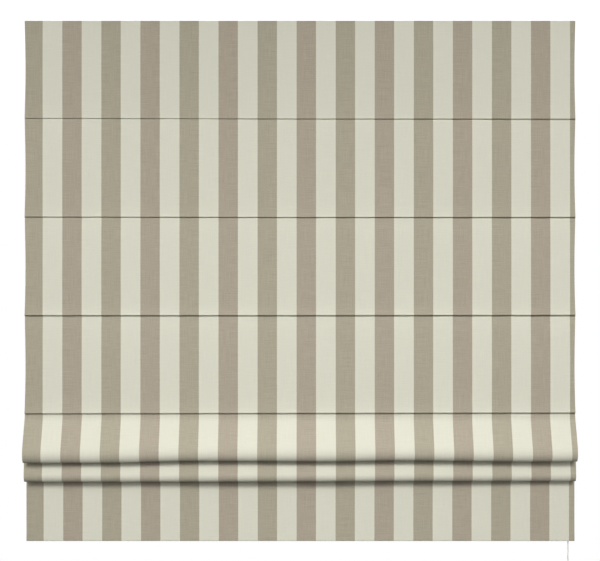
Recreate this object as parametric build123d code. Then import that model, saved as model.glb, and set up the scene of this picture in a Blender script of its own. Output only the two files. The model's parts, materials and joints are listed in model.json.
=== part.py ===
from build123d import *
from math import asin, atan2, cos, hypot, sin, sqrt
import os

os.makedirs("parts", exist_ok=True)

# A roman blind, partly raised. X runs along the blind, -Y faces the room and Z is up.
# The wall is the plane y = 0, and the origin is in the middle of the outer brackets' holes.

# Cloth
WIDTH = 1400.0  # cloth, edge to edge
CLOTH = 0.8  # one layer
PANEL = 250.0  # from one rod seam to the next
FLAT_PANELS = 4  # panels that hang flat above the folds
SIDE_HEM = 30.0  # cloth turned back along both sides
SEAM_GROOVE = 0.5  # radius of the line that a seam presses into the face
CLOTH_OVER_RAIL = 1.0  # cloth stands this far above the headrail

# Folds, measured on the cloth's middle layer from the last flat seam
UPPER_FOLD_REACH = 36.0  # stands this far before the flat panels
UPPER_FOLD_DROP = 118.4
UPPER_FOLD_RADIUS = 14.0
UPPER_FOLD_START = 26.0  # where its straight front layer would leave the panels
UPPER_FOLD_EASE = 110.0  # radius of the bow into that layer
LOWER_FOLD_REACH = 11.2
LOWER_FOLD_DROP = 170.6
LOWER_FOLD_RADIUS = 10.0
SKIRT_SETBACK = 12.5  # skirt hangs this far behind the flat panels
SKIRT_DROP = 327.0
STACK_PITCH = 13.0  # from rod to rod where they are gathered
NEAR_POCKET_SETBACK = 6.8  # fifth pocket, behind the flat panels
NECK = 3.2  # sewn double layer between a gathered pocket and its panels

# Rods and rings
ROD_COUNT = 6
ROD_RADIUS = 2.0
ROD_INSET = 9.0  # from the cloth's edge to the rod's end
TIP_WALL = 0.5
TIP_LENGTH = 10.0
TIP_END = 1.2  # closed end of a tip
POCKET_GAP = 0.2  # between a tip and its pocket
POCKET_NECK = 1.0  # between the cloth's back and a flat panel's pocket
RING_RADIUS = 8.0  # outer
RING_WIRE = 1.1  # radius of its section
RING_GAP = 0.2  # between a ring and its pocket
RING_DROP = 3.0  # rings are sewn on this far below the rod

# Bottom hem and its bar
BAR_HEIGHT = 19.0
BAR_DEPTH = 2.6
BAR_INSET = 9.0
BAR_CAP_WALL = 0.5
BAR_CAP_LENGTH = 12.0
BAR_CAP_END = 1.5
HEM_GAP = 0.3  # between a bar cap and the hem
HEM_ROUND = 1.4  # radius along the hem's outer edges

# Headrail
RAIL_DEPTH = 28.0
RAIL_HEIGHT = 34.0
RAIL_WALL = 1.5
RAIL_LIP = 5.5  # each lip beside the slot below
RAIL_INSET = 3.0  # from the cloth's edge to the rail's end
RAIL_WALL_GAP = 2.0  # between the rail and the wall
RAIL_ROUND = 0.8
CAP_PLATE = 2.0
CAP_SPIGOT = 6.0
CAP_WALL = 1.5
CAP_GAP = 0.15
TAPE = 1.2  # thickness of each touch tape
TAPE_HEIGHT = 25.0
TAPE_TOP_DROP = 3.0  # below the headrail's top
TAPE_SIDE_GAP = 0.5  # between the tapes and the side hems

# Wall brackets
BRACKET_SHEET = 2.0
BRACKET_WIDTH = 25.0
BRACKET_INSET = 160.0  # from the cloth's edge to the middle of an outer bracket
BRACKET_ROUND = 4.0
BRACKET_FRONT_GAP = 3.0  # bracket's leg stops this far behind the rail's front
HOLE_SPACING = 18.0
HOLE_RADIUS = 2.25
HOLE_DROP = 12.0  # upper hole below the bracket's leg
HOLE_EDGE = 8.0  # lower hole to the bracket's end
BOLT_RADIUS = 2.0
BOLT_HEAD_RADIUS = 4.0
BOLT_HEAD = 2.4
BOLT_GAP = 0.1
NUT_WIDTH = 20.0
NUT_LENGTH = 14.0
NUT_HEIGHT = 3.0
DRIVE_RADIUS = 1.3
DRIVE_DEPTH = 1.2

# Cords
CORD_RADIUS = 0.7
CORD_EASE = 900.0  # radius where a taut cord leans a little
CORD_COUNT = 4
COLUMN_INSET = 100.0  # from the cloth's edge to the outer lift cords
LANE_PITCH = 2.2  # cords run side by side in the headrail
CORD_FOOT_SETBACK = 20.2  # lower end of the lift cords, behind the flat panels
CORD_GAP = 0.05  # between a cord and a roller
CORD_HOLE_GAP = 0.3
KNOT_RADIUS = 1.0

# Cord guides
ROLLER_RADIUS = 4.0
ROLLER_CORE = 9.4
FLANGE_RADIUS = 5.5
FLANGE = 1.0
PIN_RADIUS = 1.2
PIN_GAP = 0.05
ROLLER_GAP = 0.3
GUIDE_WIDTH = 22.0
GUIDE_LENGTH = 26.0
GUIDE_BASE = 3.0
GUIDE_CHEEK_TOP = 3.0  # cheeks rise this far above the pin
FOOT_GAP = 0.2  # between a foot and the rail's slot or lips
FOOT_LEDGE = 2.0  # a foot reaches this far under each lip
FOOT_HEIGHT = 1.5

# Cord lock
PULL_INSET = 12.7  # from the cloth's edge to the pull cord
LOCK_LENGTH = 36.0
LOCK_WALL = 2.2
LOCK_NOSE = 17.0  # nose below the headrail
CAM_PIN_DROP = 8.0  # cam's pin below the headrail
CAM_WIDTH = 9.0
CAM_HUB = 3.4
CAM_REACH = 11.0  # from the cam's pin to its teeth
CAM_TEETH = 4
CAM_TOOTH = 0.6
CAM_TIP = 6.0  # height of the toothed end

# Pull cord
JOINER_DROP = 545.0  # joiner below the lock's nose
JOINER_SETBACK = 25.0  # pull cord behind the flat panels
JOINER_RADIUS = 6.6
JOINER_LENGTH = 26.0
JOINER_WALL = 1.6
JOINER_ROUND = 1.0
JOINER_CAP = 7.0
JOINER_PLUG = 5.0
PULL_RADIUS = 1.3
PULL_KNOT = 2.6
KNOB_DROP = 1386.0  # top of the knob below the cloth's top
KNOB_LENGTH = 48.0
KNOB_RADIUS = 6.4
KNOB_NECK = 3.4
KNOB_FOOT = 5.0
KNOB_BULGE_SHARE = 0.62
KNOB_WELL = 14.0
KNOB_WELL_GAP = 0.4

# Lift cord ends
STOP_RADIUS = 6.6
STOP_DISC = 2.0
STOP_BARREL = 3.2
STOP_LENGTH = 10.0
STOP_GAP = 0.2
STOP_KNOT = 1.6

OVERRUN = 2.0  # cuts pass their faces by this much

# Places worked out from the sizes above
RAIL_BOTTOM = HOLE_SPACING / 2 + HOLE_DROP + BRACKET_SHEET
RAIL_TOP = RAIL_BOTTOM + RAIL_HEIGHT
RAIL_BACK = -RAIL_WALL_GAP
RAIL_FRONT = RAIL_BACK - RAIL_DEPTH
RAIL_MIDDLE = (RAIL_BACK + RAIL_FRONT) / 2
RAIL_HALF = WIDTH / 2 - RAIL_INSET
TAPE_HALF = WIDTH / 2 - SIDE_HEM - TAPE_SIDE_GAP
LIP_TOP = RAIL_BOTTOM + RAIL_WALL
SLOT_HALF = RAIL_DEPTH / 2 - RAIL_WALL - RAIL_LIP
FOOT_NECK = 2 * (SLOT_HALF - FOOT_GAP)  # width of what passes the slot

CLOTH_BACK = RAIL_FRONT - 2 * TAPE
CLOTH_MID = CLOTH_BACK - CLOTH / 2
CLOTH_FRONT = CLOTH_BACK - CLOTH
CLOTH_TOP = RAIL_TOP + CLOTH_OVER_RAIL
LAST_SEAM = CLOTH_TOP - FLAT_PANELS * PANEL

POCKET_INNER = ROD_RADIUS + TIP_WALL + POCKET_GAP
POCKET_OUTER = POCKET_INNER + CLOTH
FLAT_POCKET_Y = CLOTH_BACK + POCKET_NECK + POCKET_OUTER
ROD_HALF = WIDTH / 2 - ROD_INSET

HEM_INNER_HEIGHT = BAR_HEIGHT + 2 * BAR_CAP_WALL + 2 * HEM_GAP
HEM_INNER_DEPTH = BAR_DEPTH + 2 * BAR_CAP_WALL + 2 * HEM_GAP
SKIRT_MID = CLOTH_MID + SKIRT_SETBACK
HEM_FRONT = SKIRT_MID - CLOTH / 2
HEM_BOTTOM = LAST_SEAM - SKIRT_DROP
BAR_Y = HEM_FRONT + CLOTH + HEM_INNER_DEPTH / 2
BAR_Z = HEM_BOTTOM + CLOTH + HEM_INNER_HEIGHT / 2
BAR_HALF = WIDTH / 2 - BAR_INSET

COLUMN_PITCH = (WIDTH - 2 * COLUMN_INSET) / (CORD_COUNT - 1)
STEPS = [i - (CORD_COUNT - 1) / 2 for i in range(CORD_COUNT)]  # cords counted from the middle
COLUMNS = [step * COLUMN_PITCH for step in STEPS]
LANES = [RAIL_MIDDLE + step * LANE_PITCH for step in STEPS]
PULL_PLACE = WIDTH / 2 - PULL_INSET
BRACKET_PLACE = WIDTH / 2 - BRACKET_INSET
ROLLER_LENGTH = ROLLER_CORE + 2 * FLANGE
ROLLER_Z = LIP_TOP + GUIDE_BASE + FLANGE_RADIUS + ROLLER_GAP
CORD_TURN = ROLLER_RADIUS + CORD_RADIUS + CORD_GAP  # radius of a cord's middle on a roller
CORD_RUN_Z = ROLLER_Z + CORD_TURN
CORD_FOOT_Y = CLOTH_MID + CORD_FOOT_SETBACK
CHEEK_INNER = ROLLER_LENGTH / 2 + ROLLER_GAP
CHEEK_TOP = ROLLER_Z + PIN_RADIUS + GUIDE_CHEEK_TOP

LOWEST_ROD = LAST_SEAM - (ROD_COUNT - FLAT_PANELS) * STACK_PITCH
STOP_TOP = LOWEST_ROD - RING_DROP - RING_WIRE - STOP_GAP

LOCK_ROLLER_X = PULL_PLACE - CORD_TURN
LOCK_RIGHT = PULL_PLACE + CORD_RADIUS + CORD_HOLE_GAP + LOCK_WALL
LOCK_LEFT = LOCK_RIGHT - LOCK_LENGTH
NOSE_BOTTOM = RAIL_BOTTOM - LOCK_NOSE
CAM_X = PULL_PLACE - CORD_RADIUS - CORD_HOLE_GAP - CAM_REACH
CAM_Z = RAIL_BOTTOM - CAM_PIN_DROP

JOINER_TOP = NOSE_BOTTOM - JOINER_DROP
JOINER_BOTTOM = JOINER_TOP - JOINER_LENGTH
JOINER_Y = CLOTH_MID + JOINER_SETBACK
KNOB_TOP = CLOTH_TOP - KNOB_DROP
KNOB_BOTTOM = KNOB_TOP - KNOB_LENGTH


def block(x, y, z):
    """A box between the pairs of limits x, y and z."""
    middle = Pos(sum(x) / 2, sum(y) / 2, sum(z) / 2)
    return middle * Box(abs(x[1] - x[0]), abs(y[1] - y[0]), abs(z[1] - z[0]))


def round_x(radius, x, y, z):
    """A cylinder along X between the limits x."""
    return Pos(sum(x) / 2, y, z) * Rot(0, 90, 0) * Cylinder(radius, abs(x[1] - x[0]))


def round_y(radius, x, y, z):
    """A cylinder along Y between the limits y."""
    return Pos(x, sum(y) / 2, z) * Rot(90, 0, 0) * Cylinder(radius, abs(y[1] - y[0]))


def round_z(radius, x, y, z):
    """A cylinder along Z between the limits z."""
    return Pos(x, y, sum(z) / 2) * Cylinder(radius, abs(z[1] - z[0]))


def about(middle, length):
    """The limits of a length about its middle."""
    return (middle - length / 2, middle + length / 2)


# Fold outlines are points (reach before the flat panels, drop below the last flat seam)
def place(reach, drop):
    """A point of the cloth's section in the blind's own frame."""
    return (0, CLOTH_MID - reach, LAST_SEAM - drop)


def touch_point(start, centre, radius, side):
    """Where the straight layer from start touches a fold's round: side 1 is its front, -1 its back."""
    reach = centre[0] - start[0]
    drop = centre[1] - start[1]
    lean = atan2(reach, drop) + side * asin(radius / hypot(reach, drop))
    return (centre[0] + side * radius * cos(lean), centre[1] - side * radius * sin(lean))


def fold_round(start, end, reach, drop, radius):
    """The two touch points of a fold's round, and its lowest point."""
    centre = (reach - radius, drop - radius)
    front = touch_point(start, centre, radius, 1)
    back = touch_point(end, centre, radius, -1)
    return front, (centre[0], drop), back


def cloth_paths():
    """The cloth's three runs: to the fifth pocket, to the sixth, and down the skirt."""
    neck_5 = STACK_PITCH + POCKET_OUTER + NECK
    neck_6 = neck_5 + STACK_PITCH
    skirt_top = (-SKIRT_SETBACK, neck_6)
    bow = (0, UPPER_FOLD_START)
    end_1 = (CLOTH / 2 - NEAR_POCKET_SETBACK, neck_5)
    start_2 = (end_1[0] - CLOTH, neck_5)
    end_2 = (CLOTH - SKIRT_SETBACK, neck_6)
    front, low, back = fold_round(bow, end_1, UPPER_FOLD_REACH, UPPER_FOLD_DROP, UPPER_FOLD_RADIUS)
    top = (0, LAST_SEAM - CLOTH_TOP)
    first = FilletPolyline(place(*top), place(*bow), place(*front), radius=UPPER_FOLD_EASE)
    first += ThreePointArc(place(*front), place(*low), place(*back))
    first += Line(place(*back), place(*end_1))
    front, low, back = fold_round(start_2, end_2, LOWER_FOLD_REACH, LOWER_FOLD_DROP, LOWER_FOLD_RADIUS)
    second = Line(place(*start_2), place(*front))
    second += ThreePointArc(place(*front), place(*low), place(*back))
    second += Line(place(*back), place(*end_2))
    hem_start = SKIRT_DROP - CLOTH - HEM_INNER_HEIGHT
    third = Line(place(*skirt_top), place(-SKIRT_SETBACK, hem_start))
    return [Wire(run.edges()) for run in (first, second, third)]


def layer(path, middle, width, thickness, back):
    """A layer of cloth along a path, set back from the path's own line."""
    start = Plane(origin=path @ 0, x_dir=(1, 0, 0), z_dir=path % 0)
    return sweep(start * Pos(middle, -back) * Rectangle(width, thickness), path)


def rod_place(index):
    """Y and Z of a rod's axis, the first rod on top."""
    gathered = index - FLAT_PANELS + 1
    if gathered <= 0:
        return FLAT_POCKET_Y, CLOTH_TOP - (index + 1) * PANEL
    setback = NEAR_POCKET_SETBACK if gathered == 1 else SKIRT_SETBACK - CLOTH / 2
    return CLOTH_MID + setback, LAST_SEAM - gathered * STACK_PITCH


def pocket(index):
    """The outside of a rod's pocket with its sewn neck."""
    y, z = rod_place(index)
    edge = (-WIDTH / 2, WIDTH / 2)
    loop = round_x(POCKET_OUTER, edge, y, z)
    if index < FLAT_PANELS:
        return loop + block(edge, (CLOTH_MID, y), about(z, 2 * CLOTH))
    return loop + block(edge, about(y, 2 * CLOTH), (z, z - POCKET_OUTER - NECK - CLOTH))


def hem():
    """The turned bottom hem, a flat pocket for the bar."""
    edge = (-WIDTH / 2, WIDTH / 2)
    depth = HEM_INNER_DEPTH + 2 * CLOTH
    height = HEM_INNER_HEIGHT + 2 * CLOTH
    body = block(edge, (HEM_FRONT, HEM_FRONT + depth), (HEM_BOTTOM, HEM_BOTTOM + height))
    return fillet(body.edges().filter_by(Axis.X), HEM_ROUND)


def fabric():
    """The whole cloth: panels, folds, skirt, pockets and hems in one piece."""
    cloth = hem()
    turned = CLOTH + CLOTH / 4  # a side hem starts inside the layer that it is sewn to
    for path in cloth_paths():
        cloth += layer(path, 0, WIDTH, CLOTH, 0)
        for side in (-1, 1):
            middle = side * (WIDTH - SIDE_HEM) / 2
            cloth += layer(path, middle, SIDE_HEM, turned, (CLOTH + turned) / 2 - CLOTH / 4)
    edge = about(0, WIDTH + 2 * OVERRUN)
    for index in range(ROD_COUNT):
        cloth += pocket(index)
    for index in range(ROD_COUNT):
        y, z = rod_place(index)
        cloth -= round_x(POCKET_INNER, edge, y, z)
        if index < FLAT_PANELS:
            cloth -= round_x(SEAM_GROOVE, edge, CLOTH_FRONT, z)
    cloth -= block(edge, about(BAR_Y, HEM_INNER_DEPTH), about(BAR_Z, HEM_INNER_HEIGHT))
    return cloth


def rod(index):
    """A stiffening rod."""
    return round_x(ROD_RADIUS, (-ROD_HALF, ROD_HALF), *rod_place(index))


def rod_tips(index):
    """The caps on a rod's two ends."""
    y, z = rod_place(index)
    tips = []
    for side in (-1, 1):
        inner = side * (ROD_HALF + TIP_END - TIP_LENGTH)
        outer = side * (ROD_HALF + TIP_END)
        tip = round_x(ROD_RADIUS + TIP_WALL, (inner, outer), y, z)
        outer_face = tip.faces().sort_by(Axis.X)[-1 if side > 0 else 0]
        tip = fillet(outer_face.edges(), TIP_WALL)
        tips.append(tip - round_x(ROD_RADIUS, (inner, side * ROD_HALF), y, z))
    return tips


def rings(index):
    """The rings sewn behind a rod, one for each lift cord."""
    y, z = rod_place(index)
    middle = RING_RADIUS - RING_WIRE
    ring_y = y + sqrt((POCKET_OUTER + RING_GAP + RING_WIRE) ** 2 - RING_DROP**2) + middle
    return [Pos(x, ring_y, z - RING_DROP) * Torus(middle, RING_WIRE) for x in COLUMNS]


def headrail():
    """The channel, open below between two lips."""
    ends = (-RAIL_HALF, RAIL_HALF)
    cut = about(0, 2 * RAIL_HALF + 2 * OVERRUN)
    rail = block(ends, (RAIL_FRONT, RAIL_BACK), (RAIL_BOTTOM, RAIL_TOP))
    rail = fillet(rail.edges().filter_by(Axis.X), RAIL_ROUND)
    inside = about(RAIL_MIDDLE, RAIL_DEPTH - 2 * RAIL_WALL)
    rail -= block(cut, inside, (LIP_TOP, RAIL_TOP - RAIL_WALL))
    slot = about(RAIL_MIDDLE, 2 * SLOT_HALF)
    return rail - block(cut, slot, (RAIL_BOTTOM - OVERRUN, LIP_TOP + RAIL_WALL))


def end_cap(side):
    """A plug with a hollow spigot in the headrail's end."""
    outside = (side * RAIL_HALF, side * (RAIL_HALF + CAP_PLATE))
    plate = block(outside, (RAIL_FRONT, RAIL_BACK), (RAIL_BOTTOM, RAIL_TOP))
    plate = fillet(plate.edges().filter_by(Axis.X), RAIL_ROUND)
    depth = RAIL_DEPTH - 2 * RAIL_WALL - 2 * CAP_GAP
    low = LIP_TOP + CAP_GAP
    high = RAIL_TOP - RAIL_WALL - CAP_GAP
    reach = (side * (RAIL_HALF - CAP_SPIGOT), side * RAIL_HALF)
    spigot = block(reach, about(RAIL_MIDDLE, depth), (low, high))
    spigot -= block(reach, about(RAIL_MIDDLE, depth - 2 * CAP_WALL), (low + CAP_WALL, high - CAP_WALL))
    return plate + spigot


def wall_bracket(x):
    """A steel angle: one leg under the headrail, one down the wall with two holes."""
    across = about(x, BRACKET_WIDTH)
    low = -HOLE_SPACING / 2 - HOLE_EDGE
    leg_top = RAIL_BOTTOM
    angle = block(across, (-BRACKET_SHEET, 0), (low, leg_top))
    angle += block(across, (RAIL_FRONT + BRACKET_FRONT_GAP, 0), (leg_top - BRACKET_SHEET, leg_top))
    free = angle.edges().filter_by(Axis.Y).group_by(Axis.Z)[0]
    free += angle.edges().filter_by(Axis.Z).group_by(Axis.Y)[0]
    angle = fillet(free, BRACKET_ROUND)
    for z in (-HOLE_SPACING / 2, HOLE_SPACING / 2):
        angle -= round_y(HOLE_RADIUS, x, (-BRACKET_SHEET - OVERRUN, OVERRUN), z)
    bolt_hole = (leg_top - BRACKET_SHEET - OVERRUN, leg_top + OVERRUN)
    return angle - round_z(BOLT_RADIUS + BOLT_GAP, x, RAIL_MIDDLE, bolt_hole)


def bracket_bolt(x):
    """A round-head bolt up through a bracket, the rail's slot and a nut plate."""
    seat = RAIL_BOTTOM - BRACKET_SHEET
    shank = round_z(BOLT_RADIUS, x, RAIL_MIDDLE, (seat, LIP_TOP + NUT_HEIGHT))
    head = round_z(BOLT_HEAD_RADIUS, x, RAIL_MIDDLE, (seat - BOLT_HEAD, seat))
    head = fillet(head.edges().group_by(Axis.Z)[0], BOLT_HEAD / 2)
    low = seat - BOLT_HEAD
    return shank + head - round_z(DRIVE_RADIUS, x, RAIL_MIDDLE, (low - OVERRUN, low + DRIVE_DEPTH))


def bracket_nut(x):
    """A nut plate on the rail's two lips."""
    nut = block(about(x, NUT_LENGTH), about(RAIL_MIDDLE, NUT_WIDTH), (LIP_TOP, LIP_TOP + NUT_HEIGHT))
    through = (LIP_TOP - OVERRUN, LIP_TOP + NUT_HEIGHT + OVERRUN)
    return nut - round_z(BOLT_RADIUS, x, RAIL_MIDDLE, through)


def tape(back, front):
    """One half of the touch tape between headrail and cloth."""
    top = RAIL_TOP - TAPE_TOP_DROP
    return block((-TAPE_HALF, TAPE_HALF), (front, back), (top - TAPE_HEIGHT, top))


def foot(x):
    """A foot between the limits x that grips the rail's lips."""
    sole = FOOT_NECK + 2 * FOOT_LEDGE
    low = RAIL_BOTTOM - FOOT_GAP
    neck = block(x, about(RAIL_MIDDLE, FOOT_NECK), (low, LIP_TOP))
    return neck + block(x, about(RAIL_MIDDLE, sole), (low - FOOT_HEIGHT, low))


def roller(x):
    """A flanged roller on an axis along Y."""
    body = round_y(ROLLER_RADIUS, x, about(RAIL_MIDDLE, ROLLER_LENGTH), ROLLER_Z)
    for side in (-1, 1):
        middle = RAIL_MIDDLE + side * (ROLLER_CORE + FLANGE) / 2
        body += round_y(FLANGE_RADIUS, x, about(middle, FLANGE), ROLLER_Z)
    bore = about(RAIL_MIDDLE, ROLLER_LENGTH + 2 * OVERRUN)
    return body - round_y(PIN_RADIUS + PIN_GAP, x, bore, ROLLER_Z)


def pin(x, z, length):
    """A pin across a guide or the lock."""
    return round_y(PIN_RADIUS, x, about(RAIL_MIDDLE, length), z)


def cord_guide(index):
    """A guide in the rail: base, two cheeks for the roller's pin, and a foot in the slot."""
    x = COLUMNS[index]
    roller_x = x + CORD_TURN
    length = about(roller_x, GUIDE_LENGTH)
    base_top = LIP_TOP + GUIDE_BASE
    guide = block(length, about(RAIL_MIDDLE, GUIDE_WIDTH), (LIP_TOP, CHEEK_TOP))
    through = about(roller_x, GUIDE_LENGTH + 2 * OVERRUN)
    guide -= block(through, about(RAIL_MIDDLE, 2 * CHEEK_INNER), (base_top, CHEEK_TOP + OVERRUN))
    guide += foot(length)
    guide -= round_y(PIN_RADIUS, roller_x, about(RAIL_MIDDLE, GUIDE_WIDTH + 2 * OVERRUN), ROLLER_Z)
    down = (RAIL_BOTTOM - FOOT_GAP - FOOT_HEIGHT - OVERRUN, base_top + OVERRUN)
    return guide - round_z(CORD_RADIUS + CORD_HOLE_GAP, x, LANES[index], down)


def cord_lock_housing():
    """The lock: cheeks for its roller in the rail, and a nose below that holds the cam."""
    length = (LOCK_LEFT, LOCK_RIGHT)
    lock = block(length, about(RAIL_MIDDLE, GUIDE_WIDTH), (LIP_TOP, CHEEK_TOP)) + foot(length)
    lock += block(length, about(RAIL_MIDDLE, FOOT_NECK), (NOSE_BOTTOM, RAIL_BOTTOM))
    nose_corners = lock.edges().filter_by(Axis.Y).group_by(Axis.Z)[0]
    lock = fillet(nose_corners, CAM_HUB)
    well = (LOCK_LEFT - OVERRUN, LOCK_RIGHT - LOCK_WALL)
    lock -= block(well, about(RAIL_MIDDLE, 2 * CHEEK_INNER), (LIP_TOP + GUIDE_BASE, CHEEK_TOP + OVERRUN))
    throat = (LOCK_LEFT + LOCK_WALL, LOCK_RIGHT - LOCK_WALL)
    down = (NOSE_BOTTOM - OVERRUN, LIP_TOP + GUIDE_BASE + OVERRUN)
    lock -= block(throat, about(RAIL_MIDDLE, CAM_WIDTH + 2 * ROLLER_GAP), down)
    for x, z in ((LOCK_ROLLER_X, ROLLER_Z), (CAM_X, CAM_Z)):
        lock -= round_y(PIN_RADIUS, x, about(RAIL_MIDDLE, GUIDE_WIDTH + 2 * OVERRUN), z)
    return lock


def lock_cam():
    """The cam that grips the cords: a hub on its pin and an arm with a toothed end."""
    across = about(RAIL_MIDDLE, CAM_WIDTH)
    grip = CAM_REACH - CAM_TOOTH
    arm = block((CAM_X, CAM_X + CAM_REACH), across, about(CAM_Z, CAM_TIP))
    cam = round_y(CAM_HUB, CAM_X, across, CAM_Z) + (arm & round_y(grip, CAM_X, across, CAM_Z))
    for i in range(CAM_TEETH):
        turn = ((i + 1 / 2) / CAM_TEETH - 1 / 2) * CAM_TIP / grip
        cam += round_y(CAM_TOOTH, CAM_X + grip * cos(turn), across, CAM_Z + grip * sin(turn))
    return cam - round_y(PIN_RADIUS + PIN_GAP, CAM_X, about(RAIL_MIDDLE, CAM_WIDTH + 2 * OVERRUN), CAM_Z)


def lift_cord(index):
    """A lift cord from its end button up, over its guide, along the rail and down to the joiner."""
    x = COLUMNS[index]
    lane = LANES[index]
    foot_z = STOP_TOP - STOP_LENGTH
    joiner_y = JOINER_Y + lane - RAIL_MIDDLE
    end_z = JOINER_TOP - JOINER_WALL - KNOT_RADIUS
    route = FilletPolyline(
        (x, CORD_FOOT_Y, foot_z),
        (x, lane, RAIL_BOTTOM),
        (x, lane, CORD_RUN_Z),
        (PULL_PLACE, lane, CORD_RUN_Z),
        (PULL_PLACE, lane, NOSE_BOTTOM),
        (PULL_PLACE, joiner_y, JOINER_TOP),
        (PULL_PLACE, joiner_y, end_z),
        radius=[CORD_EASE, CORD_TURN, CORD_TURN, CORD_EASE / 2, KNOT_RADIUS],
    )
    start = Plane(origin=route @ 0, z_dir=route % 0)
    cord = sweep(start * Circle(CORD_RADIUS), route)
    cord += Pos(PULL_PLACE, joiner_y, end_z) * Sphere(KNOT_RADIUS)
    return cord + Pos(x, CORD_FOOT_Y, foot_z) * Sphere(STOP_KNOT)


def cord_stop(x):
    """The button that ends a lift cord under its lowest ring."""
    button = round_z(STOP_RADIUS, x, CORD_FOOT_Y, (STOP_TOP - STOP_DISC, STOP_TOP))
    button = fillet(button.edges().filter_by(GeomType.CIRCLE), STOP_DISC / 3)
    button += round_z(STOP_BARREL, x, CORD_FOOT_Y, (STOP_TOP - STOP_LENGTH, STOP_TOP - STOP_DISC / 2))
    low = STOP_TOP - STOP_LENGTH
    button -= round_z(CORD_RADIUS + CORD_HOLE_GAP, x, CORD_FOOT_Y, (low - OVERRUN, STOP_TOP + OVERRUN))
    return button - Pos(x, CORD_FOOT_Y, low) * Sphere(STOP_KNOT + STOP_GAP)


def weight_bar():
    """The flat bar in the bottom hem."""
    return block((-BAR_HALF, BAR_HALF), about(BAR_Y, BAR_DEPTH), about(BAR_Z, BAR_HEIGHT))


def weight_bar_cap(side):
    """A cap on one end of the bar."""
    inner = side * (BAR_HALF + BAR_CAP_END - BAR_CAP_LENGTH)
    outer = side * (BAR_HALF + BAR_CAP_END)
    depth = BAR_DEPTH + 2 * BAR_CAP_WALL
    height = BAR_HEIGHT + 2 * BAR_CAP_WALL
    cap = block((inner, outer), about(BAR_Y, depth), about(BAR_Z, height))
    return cap - block((inner, side * BAR_HALF), about(BAR_Y, BAR_DEPTH), about(BAR_Z, BAR_HEIGHT))


def cord_joiner_body():
    """The joiner's barrel: four holes above for the lift cords, open below."""
    split = JOINER_BOTTOM + JOINER_CAP
    body = round_z(JOINER_RADIUS, PULL_PLACE, JOINER_Y, (split, JOINER_TOP))
    body = fillet(body.edges().group_by(Axis.Z)[-1], JOINER_ROUND)
    bore = JOINER_RADIUS - JOINER_WALL
    body -= round_z(bore, PULL_PLACE, JOINER_Y, (split - OVERRUN, JOINER_TOP - JOINER_WALL))
    through = (JOINER_TOP - 2 * JOINER_WALL, JOINER_TOP + OVERRUN)
    for lane in LANES:
        y = JOINER_Y + lane - RAIL_MIDDLE
        body -= round_z(CORD_RADIUS + CORD_HOLE_GAP, PULL_PLACE, y, through)
    return body


def cord_joiner_cap():
    """The joiner's lower cap, plugged into the barrel, with the pull cord's hole."""
    split = JOINER_BOTTOM + JOINER_CAP
    cap = round_z(JOINER_RADIUS, PULL_PLACE, JOINER_Y, (JOINER_BOTTOM, split))
    cap = fillet(cap.edges().group_by(Axis.Z)[0], JOINER_ROUND)
    plug = JOINER_RADIUS - JOINER_WALL - CAP_GAP
    cap += round_z(plug, PULL_PLACE, JOINER_Y, (split, split + JOINER_PLUG))
    hollow = (JOINER_BOTTOM + JOINER_WALL, split + JOINER_PLUG + OVERRUN)
    cap -= round_z(plug - JOINER_WALL, PULL_PLACE, JOINER_Y, hollow)
    hole = (JOINER_BOTTOM - OVERRUN, split)
    return cap - round_z(PULL_RADIUS + CORD_HOLE_GAP, PULL_PLACE, JOINER_Y, hole)


def pull_cord():
    """The pull cord with a knot in the joiner and one in the knob."""
    top = JOINER_BOTTOM + JOINER_WALL + PULL_KNOT
    low = KNOB_BOTTOM + KNOB_WELL - PULL_KNOT
    cord = round_z(PULL_RADIUS, PULL_PLACE, JOINER_Y, (low, top))
    for z in (low, top):
        cord += Pos(PULL_PLACE, JOINER_Y, z) * Sphere(PULL_KNOT)
    return cord


def cord_pull():
    """A turned knob, bored for the cord, with a well below for its knot."""
    bulge = KNOB_TOP - KNOB_LENGTH * KNOB_BULGE_SHARE
    outline = Polyline((0, KNOB_BOTTOM), (0, KNOB_TOP), (KNOB_NECK, KNOB_TOP))
    outline += ThreePointArc(
        (KNOB_NECK, KNOB_TOP),
        ((KNOB_NECK + KNOB_RADIUS) / 2, (KNOB_TOP + bulge) / 2 + KNOB_NECK / 4),
        (KNOB_RADIUS, bulge),
    )
    outline += ThreePointArc(
        (KNOB_RADIUS, bulge),
        ((KNOB_RADIUS + KNOB_FOOT) / 2 + KNOB_FOOT / 6, (KNOB_BOTTOM + bulge) / 2),
        (KNOB_FOOT, KNOB_BOTTOM),
    )
    outline += Line((KNOB_FOOT, KNOB_BOTTOM), (0, KNOB_BOTTOM))
    knob = revolve(Plane.XZ * make_face(outline.edges()), Axis.Z)
    knob = Pos(PULL_PLACE, JOINER_Y, 0) * knob
    bore = (KNOB_BOTTOM, KNOB_TOP + OVERRUN)
    knob -= round_z(PULL_RADIUS + CORD_HOLE_GAP, PULL_PLACE, JOINER_Y, bore)
    well = (KNOB_BOTTOM - OVERRUN, KNOB_BOTTOM + KNOB_WELL)
    return knob - round_z(PULL_KNOT + KNOB_WELL_GAP, PULL_PLACE, JOINER_Y, well)


def export(name, *solids):
    """Writes one node, a solid or a group of like solids."""
    shape = solids[0] if len(solids) == 1 else Compound(children=list(solids))
    export_step(shape, f"parts/{name}.step")


BRACKETS = {"left": -BRACKET_PLACE, "middle": 0.0, "right": BRACKET_PLACE}

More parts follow.
